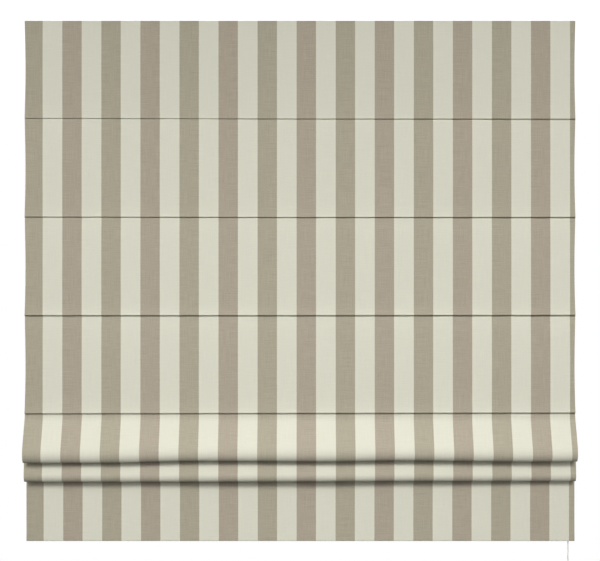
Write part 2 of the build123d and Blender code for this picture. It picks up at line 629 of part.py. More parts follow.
export("fabric", fabric())
export("headrail", headrail())
for side, name in ((-1, "left"), (1, "right")):
    export(f"end_cap_{name}", end_cap(side))
for name, x in BRACKETS.items():
    export(f"wall_bracket_{name}", wall_bracket(x))
export("bracket_bolts", *[bracket_bolt(x) for x in BRACKETS.values()])
export("bracket_nuts", *[bracket_nut(x) for x in BRACKETS.values()])
export("hook_tape", tape(RAIL_FRONT, RAIL_FRONT - TAPE))
export("loop_tape", tape(RAIL_FRONT - TAPE, CLOTH_BACK))
for i, x in enumerate(COLUMNS):
    export(f"cord_guide_{i + 1}", cord_guide(i))
    export(f"guide_roller_{i + 1}", roller(x + CORD_TURN))
    export(f"lift_cord_{i + 1}", lift_cord(i))
export("guide_pins", *[pin(x + CORD_TURN, ROLLER_Z, GUIDE_WIDTH) for x in COLUMNS])
export("cord_lock_housing", cord_lock_housing())
export("lock_roller", roller(LOCK_ROLLER_X))
export("lock_cam", lock_cam())
export("lock_pins", pin(LOCK_ROLLER_X, ROLLER_Z, GUIDE_WIDTH), pin(CAM_X, CAM_Z, FOOT_NECK))
for i in range(ROD_COUNT):
    export(f"rod_{i + 1}", rod(i))
    export(f"rod_tips_{i + 1}", *rod_tips(i))
    export(f"rings_{i + 1}", *rings(i))
export("cord_stops", *[cord_stop(x) for x in COLUMNS])
export("weight_bar", weight_bar())
export("weight_bar_caps", *[weight_bar_cap(side) for side in (-1, 1)])
export("cord_joiner_body", cord_joiner_body())
export("cord_joiner_cap", cord_joiner_cap())
export("pull_cord", pull_cord())
export("cord_pull", cord_pull())
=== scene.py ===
import json
from math import asin, cos, degrees, exp, hypot, pi, radians, sin

import bpy
import numpy as np
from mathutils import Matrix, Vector


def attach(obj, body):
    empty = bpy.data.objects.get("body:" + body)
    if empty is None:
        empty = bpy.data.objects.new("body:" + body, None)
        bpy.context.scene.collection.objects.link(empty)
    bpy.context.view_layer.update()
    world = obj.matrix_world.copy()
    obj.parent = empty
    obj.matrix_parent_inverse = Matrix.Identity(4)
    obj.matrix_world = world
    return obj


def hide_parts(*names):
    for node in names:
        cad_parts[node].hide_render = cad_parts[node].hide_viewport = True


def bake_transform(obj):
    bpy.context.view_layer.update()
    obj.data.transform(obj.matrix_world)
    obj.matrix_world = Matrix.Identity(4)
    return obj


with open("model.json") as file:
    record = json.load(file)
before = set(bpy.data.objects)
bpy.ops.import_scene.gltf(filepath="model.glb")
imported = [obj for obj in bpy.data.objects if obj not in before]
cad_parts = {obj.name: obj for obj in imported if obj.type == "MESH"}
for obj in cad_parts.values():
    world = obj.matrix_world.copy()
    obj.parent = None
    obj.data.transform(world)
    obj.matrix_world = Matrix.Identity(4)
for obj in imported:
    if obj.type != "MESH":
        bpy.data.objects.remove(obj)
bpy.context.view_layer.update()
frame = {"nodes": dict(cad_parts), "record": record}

# Sizes in metres, in the frame of the CAD model: X along the blind, -Y to the room, Z up.
MM = 0.001
HALF_WIDTH = 701.2 * MM
CLOTH = 0.8 * MM
SIDE_HEM = 30 * MM
HEM_LAYER = 0.95 * MM  # from a layer's middle to the middle of the hem behind it
CLOTH_MID = -32.8 * MM
CLOTH_TOP = 58 * MM
PANEL = 250 * MM
FLAT_PANELS = 4
LAST_SEAM = CLOTH_TOP - FLAT_PANELS * PANEL
STACK_PITCH = 13 * MM
POCKET_RADIUS = 3.1 * MM  # middle of a rod pocket's cloth
FLAT_POCKET_Y = -27.9 * MM
GATHERED_POCKETS = [(-26.0 * MM, LAST_SEAM - STACK_PITCH), (-20.7 * MM, LAST_SEAM - 2 * STACK_PITCH)]
LIP_GAPS = [1.0 * MM, 1.1 * MM, 1.35 * MM, 1.4 * MM]  # half of the step between the two layers in each seam
PROUDS = [0.8 * MM, 1.7 * MM, 2.5 * MM, 2.6 * MM]  # the layer above each seam stands forward
RECESSES = [1.2 * MM, 1.7 * MM, 2.4 * MM, 2.4 * MM]  # the layer below each seam starts further back
PROUD_FADE = 16 * MM
RECESS_FADE = 26 * MM
UPPER_LIP = 1.6 * MM
LOWER_LIP = 1.4 * MM
SEAM_DEPTH = 1.9 * MM  # how far a seam runs back to its pocket
SEAM_SPREAD = 0.75 * MM  # seams are tighter at the left than at the right
# How far each seam's mouth hangs above its rod: at the left edge, in the middle and at the right edge
SEAM_OFFSETS = [
    (1.6 * MM, -0.7 * MM, -1.7 * MM), (0.6 * MM, -1.4 * MM, -1.7 * MM),
    (-0.5 * MM, -1.2 * MM, -1.0 * MM), (-0.3 * MM, 0.0 * MM, 0.5 * MM),
]
SKIRT_Y = -20.3 * MM
HEM_BOTTOM = -1269 * MM
HEM_TOP = -1246.8 * MM
RODS = [(FLAT_POCKET_Y, CLOTH_TOP - (i + 1) * PANEL) for i in range(FLAT_PANELS)] + GATHERED_POCKETS
COLUMNS = [-0.6, -0.2, 0.2, 0.6]
LANES = [-19.3 * MM, -17.1 * MM, -14.9 * MM, -12.7 * MM]
RING_WIRE = 1.1 * MM
RING_MIDDLE = 6.9 * MM
RING_DROP = 3 * MM
RING_CENTRES = [-17.25 * MM] * FLAT_PANELS + [-15.35 * MM, -10.05 * MM]
PULL_X = 687.3 * MM
PULL_Y = -7.8 * MM
PULL_TOP = -560.8 * MM
PULL_FOOT = -1364.6 * MM
PULL_DIAMETER = 2.6 * MM

# Stripes of the cloth along X
STRIPE_START = -604.95 * MM
STRIPE_PITCH = 99.4 * MM
DARK_SHARE = 0.496
STRIPE_WAVER = 1.2 * MM  # how far the edges of the stripes waver
WEAVE_PITCH = 1.1 * MM
DRAWN = (0.02, 1, 1)  # grain of drawn or extruded pieces, long along X


# Materials

def new_material(name):
    """A node material with its Principled shader."""
    material = bpy.data.materials.new(name)
    material.use_nodes = True
    tree = material.node_tree
    return material, tree.nodes, tree.links, tree.nodes["Principled BSDF"]


def node(nodes, kind, **values):
    """A shader node with some of its properties and inputs set."""
    made = nodes.new("ShaderNode" + kind)
    for key, value in values.items():
        if hasattr(made, key):
            setattr(made, key, value)
        else:
            made.inputs[key.replace("_", " ")].default_value = value
    return made


def math_node(nodes, links, operation, *inputs):
    """A math node fed with sockets or numbers, and its result."""
    made = nodes.new("ShaderNodeMath")
    made.operation = operation
    for place, value in enumerate(inputs):
        if isinstance(value, (int, float)):
            made.inputs[place].default_value = value
        else:
            links.new(value, made.inputs[place])
    return made.outputs[0]


def mix_colour(nodes, links, factor, first, second, blend="MIX"):
    """A colour mix of sockets or colours, and its result."""
    made = nodes.new("ShaderNodeMix")
    made.data_type = "RGBA"
    made.blend_type = blend
    for key, value in (("Factor", factor), ("A", first), ("B", second)):
        kind = "VALUE" if key == "Factor" else "RGBA"
        socket = [s for s in made.inputs if s.name == key and s.type == kind][0]
        if isinstance(value, (int, float)):
            socket.default_value = value
        elif isinstance(value, tuple):
            socket.default_value = (*value, 1)
        else:
            links.new(value, socket)
    return [s for s in made.outputs if s.type == "RGBA"][0]


def stretched_noise(nodes, links, vector, scale, size, detail=2.0):
    """Noise whose grain is stretched along the axes by scale."""
    mapping = node(nodes, "Mapping")
    mapping.inputs["Scale"].default_value = scale
    links.new(vector, mapping.inputs["Vector"])
    made = node(nodes, "TexNoise", Scale=size, Detail=detail, Roughness=0.6)
    links.new(mapping.outputs[0], made.inputs["Vector"])
    return made.outputs["Fac"]


def cloth_material(name, pale, khaki, rosy):
    """Woven, yarn-dyed stripes: warp colours by X, mottled yarns, and a plain weave in relief."""
    material, nodes, links, shader = new_material(name)
    place = node(nodes, "TexCoord").outputs["Object"]
    parts = node(nodes, "SeparateXYZ")
    links.new(place, parts.inputs[0])
    run = node(nodes, "Attribute", attribute_name="run").outputs["Fac"]
    x = parts.outputs["X"]
    weave_place = node(nodes, "CombineXYZ")
    links.new(x, weave_place.inputs["X"])
    links.new(run, weave_place.inputs["Y"])
    flat = weave_place.outputs[0]

    waver = stretched_noise(nodes, links, flat, (1, 60, 1), 9.0)
    shifted = math_node(nodes, links, "MULTIPLY_ADD", waver, STRIPE_WAVER, x)
    from_start = math_node(nodes, links, "SUBTRACT", shifted, STRIPE_START + STRIPE_WAVER / 2)
    turns = math_node(nodes, links, "DIVIDE", from_start, STRIPE_PITCH)
    share = math_node(nodes, links, "FRACT", turns)
    dark = math_node(nodes, links, "LESS_THAN", share, DARK_SHARE)
    pair = math_node(nodes, links, "MULTIPLY", math_node(nodes, links, "FLOOR", turns), 0.5)
    odd = math_node(nodes, links, "LESS_THAN", math_node(nodes, links, "FRACT", pair), 0.25)
    dark_colour = mix_colour(nodes, links, odd, khaki, rosy)
    colour = mix_colour(nodes, links, dark, pale, dark_colour)

    warp = stretched_noise(nodes, links, flat, (1, 0.02, 1), 900.0)
    weft = stretched_noise(nodes, links, flat, (0.03, 1, 1), 700.0)
    grain = stretched_noise(nodes, links, flat, (1, 1, 1), 420.0, 3.0)
    mottle = math_node(nodes, links, "ADD", math_node(nodes, links, "ADD", warp, weft), grain)
    mottle = math_node(nodes, links, "SUBTRACT", mottle, 1.5)
    amount = math_node(nodes, links, "MULTIPLY_ADD", dark, 0.24, 0.12)
    tone = math_node(nodes, links, "MULTIPLY_ADD", mottle, amount, 1.0)
    tones = node(nodes, "CombineColor")
    for channel in ("Red", "Green", "Blue"):
        links.new(tone, tones.inputs[channel])
    colour = mix_colour(nodes, links, 1.0, colour, tones.outputs[0], "MULTIPLY")
    links.new(colour, shader.inputs["Base Color"])

    thread = 2 * pi / WEAVE_PITCH
    across = math_node(nodes, links, "SINE", math_node(nodes, links, "MULTIPLY", x, thread))
    along = math_node(nodes, links, "SINE", math_node(nodes, links, "MULTIPLY", run, thread))
    weave = math_node(nodes, links, "MULTIPLY", across, along)
    height = math_node(nodes, links, "MULTIPLY_ADD", mottle, 0.8, weave)
    bump = node(nodes, "Bump", Strength=0.35, Distance=0.12 * MM)
    links.new(height, bump.inputs["Height"])
    links.new(bump.outputs[0], shader.inputs["Normal"])
    shader.inputs["Roughness"].default_value = 0.92
    shader.inputs["Specular IOR Level"].default_value = 0.2
    shader.inputs["Sheen Weight"].default_value = 0.08
    shader.inputs["Sheen Roughness"].default_value = 0.5
    return material


def solid_material(
    name, colour, roughness, grain=600.0, tint=0.05, relief=0.05, metallic=0.0, stretch=(1, 1, 1), **extras
):
    """A moulded, drawn or coated surface: colour that varies a little, uneven gloss and a fine relief."""
    material, nodes, links, shader = new_material(name)
    place = node(nodes, "TexCoord").outputs["Object"]
    fine = stretched_noise(nodes, links, place, stretch, grain)
    broad = stretched_noise(nodes, links, place, stretch, grain / 25)
    broad_part = math_node(nodes, links, "MULTIPLY", broad, 0.4)
    both = math_node(nodes, links, "MULTIPLY_ADD", fine, 0.6, broad_part)
    low = tuple(c * (1 - tint) for c in colour)
    high = tuple(min(1, c * (1 + tint)) for c in colour)
    links.new(mix_colour(nodes, links, both, low, high), shader.inputs["Base Color"])
    gloss = math_node(nodes, links, "MULTIPLY_ADD", both, 0.2, roughness - 0.1)
    links.new(gloss, shader.inputs["Roughness"])
    bump = node(nodes, "Bump", Strength=relief, Distance=0.1 * MM)
    links.new(fine, bump.inputs["Height"])
    links.new(bump.outputs[0], shader.inputs["Normal"])
    shader.inputs["Metallic"].default_value = metallic
    for key, value in extras.items():
        shader.inputs[key.replace("_", " ")].default_value = value
    return material


def braid_material(name, colour, pitch, girth):
    """A braided cord: two crossing helices of strands in relief, with painted shade darkening the colour
    between the strands.
    """
    material, nodes, links, shader = new_material(name)
    parts = node(nodes, "SeparateXYZ")
    links.new(node(nodes, "TexCoord").outputs["Object"], parts.inputs[0])
    side = math_node(nodes, links, "ADD", parts.outputs["X"], parts.outputs["Y"])
    strands = []
    for lean in (-1, 1):
        turn = math_node(nodes, links, "MULTIPLY", side, lean * 2 * pi / girth)
        turn = math_node(nodes, links, "MULTIPLY_ADD", parts.outputs["Z"], 2 * pi / pitch, turn)
        strands.append(math_node(nodes, links, "SINE", turn))
    height = math_node(nodes, links, "MAXIMUM", *strands)
    # Painted shade: the colour darkens where the strands sink between each other, in the grooves.
    factor = math_node(nodes, links, "MULTIPLY_ADD", height, 0.3, 0.7)
    dark = tuple(c * 0.72 for c in colour)
    links.new(mix_colour(nodes, links, factor, dark, colour), shader.inputs["Base Color"])
    bump = node(nodes, "Bump", Strength=0.6, Distance=0.2 * MM)
    links.new(height, bump.inputs["Height"])
    links.new(bump.outputs[0], shader.inputs["Normal"])
    shader.inputs["Roughness"].default_value = 0.75
    shader.inputs["Sheen Weight"].default_value = 0.1
    return material


PALE = (0.70, 0.69, 0.575)
KHAKI = (0.405, 0.371, 0.281)
ROSY = (0.412, 0.361, 0.283)
CLOTH_LOOK = cloth_material("striped_cloth", PALE, KHAKI, ROSY)
THREAD_LOOK = solid_material("sewing_thread", (0.5, 0.47, 0.38), 0.8, 2500.0, 0.15, 0.3)
CORD_LOOK = braid_material("braided_cord", (0.8, 0.8, 0.77), 1.6 * MM, 1.3 * MM)
LOOKS = {
    "touch_tape": solid_material("touch_tape_pile", (0.78, 0.78, 0.74), 0.9, 1800.0, 0.12, 0.9),
    "anodised_aluminium": solid_material(
        "anodised_aluminium", (0.72, 0.72, 0.73), 0.36, 900.0, 0.04, 0.06, 1.0, DRAWN
    ),
    "bracket_steel": solid_material("powder_coat", (0.78, 0.78, 0.77), 0.5, 1500.0, 0.03, 0.25),
    "bolt_steel": solid_material("zinc_plate", (0.6, 0.6, 0.59), 0.34, 1200.0, 0.1, 0.08, 1.0),
    "white_plastic": solid_material("moulded_plastic", (0.78, 0.78, 0.76), 0.48, 1400.0, 0.03, 0.12),
    "roller_plastic": solid_material("roller_plastic", (0.75, 0.75, 0.71), 0.32, 900.0, 0.04, 0.05),
    "cam_brass": solid_material("worn_brass", (0.72, 0.55, 0.27), 0.33, 800.0, 0.16, 0.1, 1.0),
    "ring_plastic": solid_material(
        "ring_plastic", (0.8, 0.8, 0.77), 0.25, 700.0, 0.03, 0.04, Transmission_Weight=0.25
    ),
    # Painted shade: the rods' near black was set to stand in for the shade in the seams over them; the closed
    # pockets now cover the rods.
    "rod_fibreglass": solid_material(
        "drawn_fibreglass_painted_seam_shade", (0.05, 0.05, 0.05), 0.3, 900.0, 0.08, 0.1, 0.0, DRAWN
    ),
    "knob_plastic": solid_material(
        "knob_plastic", (0.8, 0.8, 0.77), 0.26, 500.0, 0.02, 0.03, Coat_Weight=0.3
    ),
}
SLOT_OF = {part["node"]: part["material_slot"] for part in frame["record"]["subparts"]}


def dress(obj, look):
    """Gives an object one material on all its faces."""
    obj.data.materials.clear()
    obj.data.materials.append(look)
    return obj


for name, obj in frame["nodes"].items():
    if SLOT_OF[name] in LOOKS:
        dress(obj, LOOKS[SLOT_OF[name]])


# Shapes

def new_object(name, verts, faces, look, smooth_angle=50):
    """A mesh object, smooth but for its sharp edges."""
    mesh = bpy.data.meshes.new(name)
    mesh.from_pydata([tuple(v) for v in verts], [], [tuple(f) for f in faces])
    mesh.update()
    mesh.polygons.foreach_set("use_smooth", [True] * len(mesh.polygons))
    mesh.set_sharp_from_angle(angle=radians(smooth_angle))
    obj = bpy.data.objects.new(name, mesh)
    bpy.context.scene.collection.objects.link(obj)
    return dress(obj, look)


def shell(middle, normal, thickness):
    """Vertices and faces of a closed thin shell about a grid of middle points."""
    rows, cols = middle.shape[:2]
    half = normal * (thickness / 2)
    verts = np.concatenate([(middle + half).reshape(-1, 3), (middle - half).reshape(-1, 3)])
    index = np.arange(rows * cols).reshape(rows, cols)
    front = np.stack([index[:-1, :-1], index[1:, :-1], index[1:, 1:], index[:-1, 1:]], -1).reshape(-1, 4)
    back = front[:, ::-1] + rows * cols
    rim = np.concatenate([index[0, :], index[1:, -1], index[-1, -2::-1], index[-2:0:-1, 0]])
    after = np.roll(rim, -1)
    side = np.stack([rim, after, after + rows * cols, rim + rows * cols], -1)
    return verts, np.concatenate([front, back, side])


def section(step, hems=True):
    """The cloth's section across its width: X, depth behind the face, and the direction its face looks."""
    radius = HEM_LAYER / 2
    inner = HALF_WIDTH - SIDE_HEM
    outer = HALF_WIDTH - CLOTH / 2
    half = outer - radius if hems else HALF_WIDTH
    points = [(x, 0.0, 0.0, 1.0) for x in np.linspace(-half, half, int(2 * outer / step))]
    if not hems:
        return np.array(points)
    turn = []
    for angle in np.linspace(90, -90, 7):
        a = radians(angle)
        turn.append((outer - radius + radius * cos(a), radius * sin(a) - radius, cos(a), sin(a)))
    hem = [(x, -HEM_LAYER, 0.0, -1.0) for x in np.linspace(outer - radius, inner, 6)[1:]]
    right = turn[1:] + hem
    left = [(-x, n, -nx, nn) for x, n, nx, nn in right[::-1]]
    return np.array(left + points + right)


def cloth(name, path, columns, start_run=0.0, shape=None, rows=slice(None)):
    """A piece of cloth: the section swept along some rows of a path of (y, z).

    Its face looks to the left of the path. A shape gives its relief, sideways shift, lift and reach.
    """
    path = np.array(path)
    lengths = np.hypot(*np.diff(path, axis=0).T)
    run = np.concatenate([[0], np.cumsum(lengths)])
    along = np.stack([np.gradient(path[:, 0], run), np.gradient(path[:, 1], run)], -1)
    along /= np.linalg.norm(along, axis=1)[:, None]
    face = np.stack([along[:, 1], -along[:, 0]], -1)
    x, depth, look_x, look_n = columns.T
    rise = wide = drop = forth = np.zeros((len(path), len(x)))
    if shape:
        all_x, all_run = np.meshgrid(x, run)
        rise, wide, drop, forth = shape(all_x, all_run, run[-1])
    out = depth[None, :] + rise
    middle = np.stack([
        x[None, :] + wide, path[:, :1] + face[:, :1] * out - forth, path[:, 1:] + face[:, 1:] * out + drop
    ], -1)
    normal = np.stack([
        look_x[None, :] + 0 * face[:, :1], face[:, :1] * look_n[None, :], face[:, 1:] * look_n[None, :]
    ], -1)
    middle, normal, run = middle[rows], normal[rows], run[rows]
    verts, faces = shell(middle, normal, CLOTH)
    obj = new_object(name, verts, faces, CLOTH_LOOK)
    GRIDS[name] = middle
    store = obj.data.attributes.new("run", "FLOAT", "POINT")
    store.data.foreach_set("value", np.tile(np.repeat(start_run + run, len(x)), 2).astype(np.float32))
    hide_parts("fabric")
    return obj, run[-1] - run[0]


def arc(centre, radius, start, end, count):
    """Points of an arc in (y, z): angles in degrees from +Y towards +Z."""
    return [
        (centre[0] + radius * cos(radians(a)), centre[1] + radius * sin(radians(a)))
        for a in np.linspace(start, end, count)
    ]


def straight(start, end, step, fine=0.0):
    """Points of a straight run after its start, closer together near both ends."""
    length = hypot(end[0] - start[0], end[1] - start[1])
    count = max(2, int(length / step))
    shares = np.linspace(0, 1, count + 1)
    shares = shares - fine * np.sin(2 * pi * shares) / (2 * pi)
    return [(start[0] + s * (end[0] - start[0]), start[1] + s * (end[1] - start[1])) for s in shares[1:]]


FADE_STEPS = [d * MM for d in (1.5, 3, 5, 7, 10, 13, 17, 22, 28, 35, 43, 52)]


def seam_middle(number):
    """Height of a seam's mouth in the middle of the blind."""
    return CLOTH_TOP - number * PANEL + SEAM_OFFSETS[number - 1][1]


def upper_lip(number):
    """A layer that ends in a seam: it rounds back over the seam's top."""
    top = seam_middle(number) + LIP_GAPS[number - 1]
    proud = PROUDS[number - 1]
    front = CLOTH_MID - proud
    fade = [(CLOTH_MID - proud * exp(-d / PROUD_FADE), top + UPPER_LIP + d) for d in FADE_STEPS[::-1]]
    lip = arc((front + UPPER_LIP, top + UPPER_LIP), UPPER_LIP, 180, 270, 8)
    return fade + lip + [(CLOTH_MID + SEAM_DEPTH, top)]


def lower_lip(number):
    """A layer that starts in a seam: it rounds out under it, set back from the layer above."""
    low = seam_middle(number) - LIP_GAPS[number - 1]
    front = CLOTH_MID + RECESSES[number - 1]
    return arc((front + LOWER_LIP, low - LOWER_LIP), LOWER_LIP, 90, 180, 8)


def come_forward(number):
    """What follows a seam's lower lip on a flat panel."""
    start = lower_lip(number)[-1][1]
    return [(CLOTH_MID + RECESSES[number - 1] * exp(-d / RECESS_FADE), start - d) for d in FADE_STEPS]


def seam_tilt(number, x):
    """How far a seam lies above its middle at X."""
    left, middle, right = SEAM_OFFSETS[number - 1]
    return np.interp(x, (-HALF_WIDTH, 0, HALF_WIDTH), (left - middle, 0, right - middle))


def waves(x, seed, *lengths):
    """A smooth, even-handed wave along X, from -1 to 1."""
    total = sum(np.sin(2 * pi * (x / length + 0.37 * seed + 0.61 * i)) for i, length in enumerate(lengths))
    return total / len(lengths)


def edge_pull(x):
    """How far a place takes part in the sides' necking."""
    return np.sign(x) * (np.abs(x) / HALF_WIDTH) ** 6


PUCKER = 0.16 * MM  # small waves that a seam draws into the cloth
PUCKER_UP = 18 * MM  # how far they reach above a seam
PUCKER_DOWN = 22 * MM
PANEL_WAVE = 0.9 * MM
PANEL_BELLY = 1.2 * MM
PANEL_NECK = 2.5 * MM  # a panel is narrower half way down
SEAM_TILT_FADE = 30 * MM  # a tilted seam draws the cloth along this far


def panel_shape(number):
    """The soft relief of a flat panel: puckers at its seams, slow waves, necked sides and tilted seams."""
    def shape(x, run, length):
        above = run
        below = length - run
        middle = np.sin(pi * np.clip(run / length, 0, 1))
        pucker = PUCKER * waves(x, number, 0.031, 0.047, 0.083)
        pucker = pucker * (np.exp(-below / PUCKER_UP) + np.exp(-above / PUCKER_DOWN))
        slow = PANEL_WAVE * waves(x, 2 * number, 0.52, 0.37, 0.23) * middle
        wide = -PANEL_NECK * edge_pull(x) * middle
        spread = SEAM_SPREAD * x / HALF_WIDTH
        lift = (seam_tilt(number, x) + spread) * np.exp(-below / SEAM_TILT_FADE)
        if number > 1:
            lift = lift + (seam_tilt(number - 1, x) - spread) * np.exp(-above / SEAM_TILT_FADE)
        return pucker + slow + PANEL_BELLY * middle, wide, lift, 0 * x
    return shape


PATHS = {}
GRIDS = {}
for number in range(1, FLAT_PANELS + 1):
    path = [(CLOTH_MID, CLOTH_TOP)] if number == 1 else lower_lip(number - 1) + come_forward(number - 1)
    end = upper_lip(number)
    PATHS[number] = path + straight(path[-1], end[0], 5 * MM, 0.6) + end[1:]


# Folds, in (reach before the panels, drop below the last seam)

def place(reach, drop):
    """A point of a fold as (y, z)."""
    return (CLOTH_MID - reach, LAST_SEAM - drop)


def lay(start, legs, step=2.4 * MM):
    """Points of a layer from start.

    Each leg has a length, its lean at both ends in degrees, and how late it bends.
    """
    points = [start]
    for length, first, last, power in legs:
        count = max(4, round(length / step))
        for i in range(count):
            lean = radians(first + (last - first) * ((i + 0.5) / count) ** power)
            reach, drop = points[-1]
            points.append((reach + sin(lean) * length / count, drop + cos(lean) * length / count))
    return [place(*point) for point in points]


def inside(path):
    """A path's last point as (reach, drop)."""
    return (CLOTH_MID - path[-1][0], LAST_SEAM - path[-1][1])


NECK_NEAR = 19.7 * MM
NECK_FAR = NECK_NEAR + STACK_PITCH
UPPER_END = (-6.4 * MM, NECK_NEAR)
LOWER_START = (-7.2 * MM, NECK_NEAR)
LOWER_END = (-11.7 * MM, NECK_FAR)
SKIRT_START = (-12.5 * MM, NECK_FAR)
BOW_RADIUS = 50 * MM
UPPER_FACE = 58 * MM  # lengths of the fronts' parts, from the top down
UPPER_BELLY = 49 * MM
LOWER_HIDDEN = 91.7 * MM
LOWER_BEND = 18 * MM
LOWER_FACE = 22.5 * MM
LOWER_BELLY = 23 * MM
UPPER_LATE = 2.2  # how late the bellies bend under
LOWER_LATE = 1.6
UPPER_LEAN = 20
LOWER_LEAN = 7
LOWER_BOW = 12
UPPER_UNDER = -48  # lean of a front layer where it reaches its crease
LOWER_UNDER = -45
UPPER_RISE = -168  # lean with which a back layer leaves its crease
LOWER_RISE = -174
CREASE = 2.5 * MM  # radius of a fold's crease
CREASE_STEP = 0.6 * MM
CLOTH_STEP = 6 * MM


def crease(first, last):
    """The leg of a crease between two leans."""
    return (CREASE * radians(first - last), first, last, 1)


PATHS["upper_front"] = lower_lip(FLAT_PANELS)[:-1] + lay(inside(lower_lip(FLAT_PANELS)), [
    (BOW_RADIUS * radians(UPPER_LEAN), 0, UPPER_LEAN, 1),
    (UPPER_FACE, UPPER_LEAN, UPPER_LEAN, 1),
    (UPPER_BELLY, UPPER_LEAN, UPPER_UNDER, UPPER_LATE),
    crease(UPPER_UNDER, -90),
])
turn = lay(inside(PATHS["upper_front"]), [crease(-90, UPPER_RISE)], CREASE_STEP)
PATHS["upper_back"] = turn + straight(turn[-1], place(*UPPER_END), CLOTH_STEP)
PATHS["lower_front"] = lay(LOWER_START, [
    (LOWER_HIDDEN, LOWER_LEAN, LOWER_LEAN, 1),
    (LOWER_BEND, LOWER_LEAN, LOWER_BOW, 1),
    (LOWER_FACE, LOWER_BOW, LOWER_BOW, 1),
    (LOWER_BELLY, LOWER_BOW, LOWER_UNDER, LOWER_LATE),
    crease(LOWER_UNDER, -90),
])
turn = lay(inside(PATHS["lower_front"]), [crease(-90, LOWER_RISE)], CREASE_STEP)
PATHS["lower_back"] = turn + straight(turn[-1], place(*LOWER_END), CLOTH_STEP)

# How much higher each fold's foot hangs along X, both in mm
UPPER_FOOT = ((-707, -1.0), (-509, -0.5), (-254, 4.2), (76, 2.6), (255, 5.2), (600, 2.4), (707, 2.6))
LOWER_FOOT = ((-707, 0.4), (-350, 0.6), (0, 1.5), (250, 2.2), (560, 1.6), (707, 1.4))


def foot_line(points):
    """A smooth line through points (x, value) in mm, as a function of X, in metres."""
    places = np.array(points) * MM
    def line(x):
        step = np.clip(np.searchsorted(places[:, 0], x) - 1, 0, len(places) - 2)
        share = np.clip((x - places[step, 0]) / (places[step + 1, 0] - places[step, 0]), 0, 1)
        ease = share * share * (3 - 2 * share)
        return places[step, 1] + ease * (places[step + 1, 1] - places[step, 1])
    return line


# How much further out each fold's foot stands along X, both in mm
UPPER_OUT = ((-707, 4.0), (707, 4.0))
LOWER_OUT = ((-707, -1.9), (0, 0.6), (707, -4.9))
FOLD_WAVE = 0.5 * MM
FOLD_FLARE = 0.7 * MM  # a fold's front is wider half way down
SKIRT_WAVE = 0.8 * MM
SKIRT_ASIDE = 1.2 * MM
SKIRT_NECK = 1.0 * MM


def fold_shape(wave, out, seed, is_front, seam):
    """A fold's relief: its foot wavers along X, slow waves run into it, and it leaves a seam."""
    def shape(x, run, length):
        share = run / length if is_front else 1 - run / length
        middle = np.sin(pi * np.clip(run / length, 0, 1))
        drop = wave(x) * share**2
        if seam:
            spread = SEAM_SPREAD * x / HALF_WIDTH
            drop = drop + (seam_tilt(seam, x) - spread) * np.exp(-run / SEAM_TILT_FADE)
        slow = FOLD_WAVE * waves(x, seed, 0.45, 0.29, 0.19) * middle
        wide = FOLD_FLARE * edge_pull(x) * middle * (1 if is_front else 0)
        forth = out(x) * share**2
        return slow, wide, drop, forth
    return shape


def skirt_shift(x):
    """The skirt hangs a little to the right and is drawn in at its sides."""
    return SKIRT_ASIDE - SKIRT_NECK * edge_pull(x)


def skirt_shape(x, run, length):
    """The skirt hangs almost flat, with slow waves that fade towards its bar."""
    middle = np.sin(pi * np.clip(run / length, 0, 1))
    slow = SKIRT_WAVE * waves(x, 5, 0.47, 0.31) * middle
    return slow, skirt_shift(x), 0 * x, 0 * x


def hem_shape(x, run, length):
    """The bottom hem keeps under the skirt."""
    return 0 * x, skirt_shift(x), 0 * x, 0 * x


SEAM_TAKE_UP = 20 * MM  # cloth in a seam and its pocket
fine = section(7 * MM)
plain = section(40 * MM, hems=False)
plain_fine = section(14 * MM, hems=False)
run_start = 0.0


def bind_between(obj):
    """Bakes a piece's transform into its mesh."""
    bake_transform(obj)


# A panel is made of three strips
STRIP_CUTS = (0.15, 0.85)  # shares of a panel's height
STRIPS = {"head": (0.0, STRIP_CUTS[0]), "middle": STRIP_CUTS, "foot": (STRIP_CUTS[1], 1.0)}


def bind_strip(obj):
    """Bakes a strip of a panel's transform into its mesh, as bind_between does."""
    bind_between(obj)


for number in range(1, FLAT_PANELS + 1):
    top = CLOTH_TOP - (number - 1) * PANEL
    path = PATHS[number]
    heights = [z for y, z in path]
    cuts = [np.argmin(np.abs(np.array(heights) - top + share * PANEL)) for share in STRIP_CUTS]
    for strip, first, last in zip(STRIPS, [0] + cuts, cuts + [len(path) - 1]):
        rows = slice(first, last + 1)
        obj, length = cloth(f"cloth_panel_{number}_{strip}", path, fine, run_start, panel_shape(number), rows)
        bind_strip(obj)
    run_start += PANEL + SEAM_TAKE_UP

for key, upper_rod, wave_points, out_points, seed in (
    ("upper", 4, UPPER_FOOT, UPPER_OUT, 3), ("lower", 5, LOWER_FOOT, LOWER_OUT, 7)
):
    wave, out = foot_line(wave_points), foot_line(out_points)
    for layer in ("front", "back"):
        path = PATHS[f"{key}_{layer}"]
        is_front = layer == "front"
        seam = FLAT_PANELS if key == "upper" and is_front else None
        shape = fold_shape(wave, out, seed, is_front, seam)
        obj, length = cloth(f"cloth_{key}_fold_{layer}", path, fine, run_start, shape)
        if is_front:
            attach(obj, f"rod_{upper_rod}_unit")
        else:
            bind_between(obj)
        run_start += length

skirt_path = [place(*SKIRT_START)]
skirt_path += straight(skirt_path[0], (SKIRT_Y, HEM_TOP), CLOTH_STEP)
obj, length = cloth("cloth_skirt", skirt_path, fine, run_start, skirt_shape)
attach(obj, "rod_6_unit")
run_start += length

